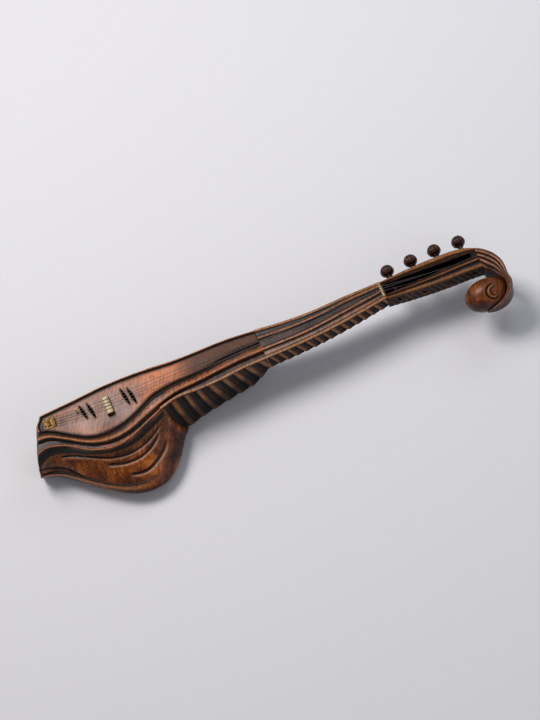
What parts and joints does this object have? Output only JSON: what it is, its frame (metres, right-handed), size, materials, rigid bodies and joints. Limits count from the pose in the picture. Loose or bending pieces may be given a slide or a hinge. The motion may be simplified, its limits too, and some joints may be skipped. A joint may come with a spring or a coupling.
{
  "type": "sitar",
  "caption": "Carved long-necked lute with a hollow side-bulging bowl, slit soundboard, lobed neck, scroll head and turning pegs.",
  "frame": {"origin": "on the flat back of the bowl, below the bridge", "axes": "+X along the neck towards the head, +Y towards the straight edge of the soundboard, +Z out of the face"},
  "size_m": [1.1334, 0.2711, 0.1338],
  "materials": {
    "body_wood": "carved, stained dark and waxed",
    "board_wood": "planed flat, worn pale, waxed",
    "strip_wood": "carved, stained dark, worn on the crests",
    "dark_wood": "turned and waxed",
    "inner_wood": "sawn, unfinished",
    "bone": "filed bone, satin",
    "brass": "aged, satin",
    "steel_wire": "drawn wire"
  },
  "bodies": {
    "instrument": {"bowl": "body_wood", "soundboard": "board_wood", "upper_binding": "strip_wood", "lower_binding": "strip_wood", "tail_binding": "strip_wood", "rim_moulding": "strip_wood", "bowl_lip": "strip_wood", "brace_front": "inner_wood", "brace_rear": "inner_wood", "tail_block": "inner_wood", "heel": "body_wood", "heel_carving_front": "strip_wood", "heel_carving_back": "strip_wood", "neck": "body_wood", "neck_tenon": "inner_wood", "fingerboard": "body_wood", "middle_rail": "strip_wood", "lower_rail": "strip_wood", "neck_carving_front": "strip_wood", "neck_carving_back": "strip_wood", "nut": "bone", "pegbox": "body_wood", "crook": "body_wood", "scroll_boss": "body_wood", "bridge_foot": "dark_wood", "bridge_top": "bone", "tailpiece": "brass", "tail_screw_1": "brass", "tail_screw_2": "brass", "string_1": "steel_wire", "string_2": "steel_wire", "string_3": "steel_wire", "string_4": "steel_wire"},
    "peg_1_body": {"peg_1": "dark_wood", "winding_1": "steel_wire"},
    "peg_2_body": {"peg_2": "dark_wood", "winding_2": "steel_wire"},
    "peg_3_body": {"peg_3": "dark_wood", "winding_3": "steel_wire"},
    "peg_4_body": {"peg_4": "dark_wood", "winding_4": "steel_wire"},
    "bead_body": {"tuning_bead": "bone"}
  },
  "joints": [
    {"name": "peg_1_turn", "type": "hinge", "parent": "instrument", "child": "peg_1_body", "pos_m": [0.712, 0, 0.093], "axis": [0, 1, 0], "continuous": true},
    {"name": "peg_2_turn", "type": "hinge", "parent": "instrument", "child": "peg_2_body", "pos_m": [0.769, 0, 0.093], "axis": [0, 1, 0], "continuous": true},
    {"name": "peg_3_turn", "type": "hinge", "parent": "instrument", "child": "peg_3_body", "pos_m": [0.826, 0, 0.093], "axis": [0, 1, 0], "continuous": true},
    {"name": "peg_4_turn", "type": "hinge", "parent": "instrument", "child": "peg_4_body", "pos_m": [0.883, 0, 0.093], "axis": [0, 1, 0], "continuous": true},
    {"name": "bead_slide", "type": "slide", "parent": "instrument", "child": "bead_body", "axis": [0.9893, -0.1297, 0.0667], "range_m": [-0.03, 0.03]}
  ]
}
